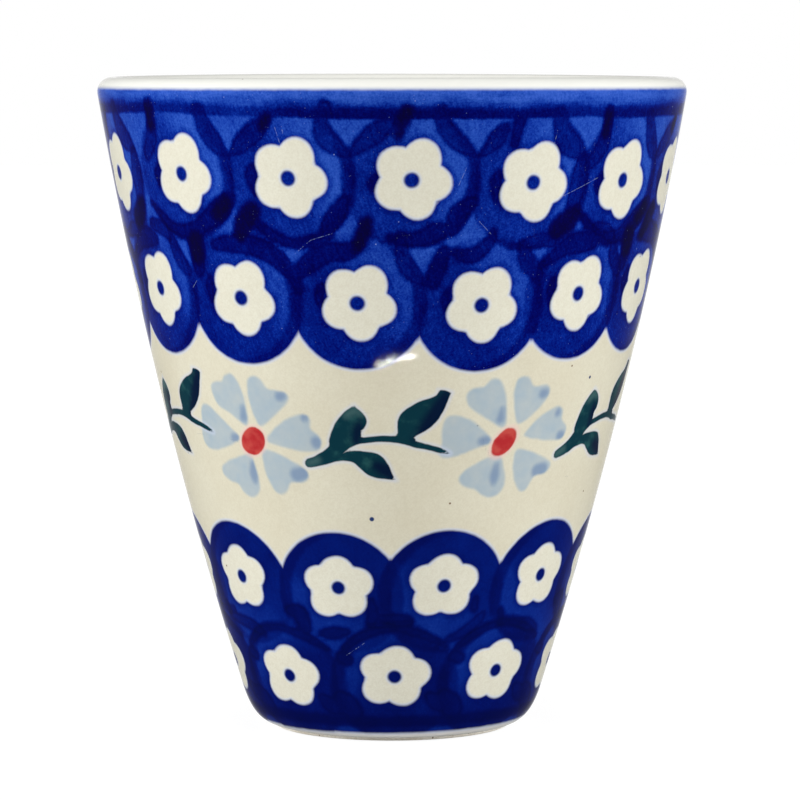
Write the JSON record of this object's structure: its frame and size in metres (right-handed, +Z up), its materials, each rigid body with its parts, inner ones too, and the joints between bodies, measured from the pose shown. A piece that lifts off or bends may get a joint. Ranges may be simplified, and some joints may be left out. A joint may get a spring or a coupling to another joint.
{
  "type": "handleless stoneware mug",
  "caption": "Flared handleless stoneware mug on a narrow turned foot, painted with blue stamped blossoms and a flower garland under clear glaze.",
  "frame": {"origin": "middle of the foot ring's resting face, on the mug's axis", "axes": "+Z up along the mug's axis, from the foot to the mouth; the pictured front faces -Y"},
  "size_m": [0.0904, 0.0904, 0.1],
  "materials": {
    "bare_stoneware": "matte",
    "painted_glaze": "gloss",
    "liner_glaze": "gloss",
    "recess_glaze": "gloss"
  },
  "bodies": {
    "root": {"stoneware_body": "bare_stoneware", "outer_glaze": "painted_glaze", "inner_glaze": "liner_glaze", "base_glaze": "recess_glaze"}
  },
  "joints": []
}
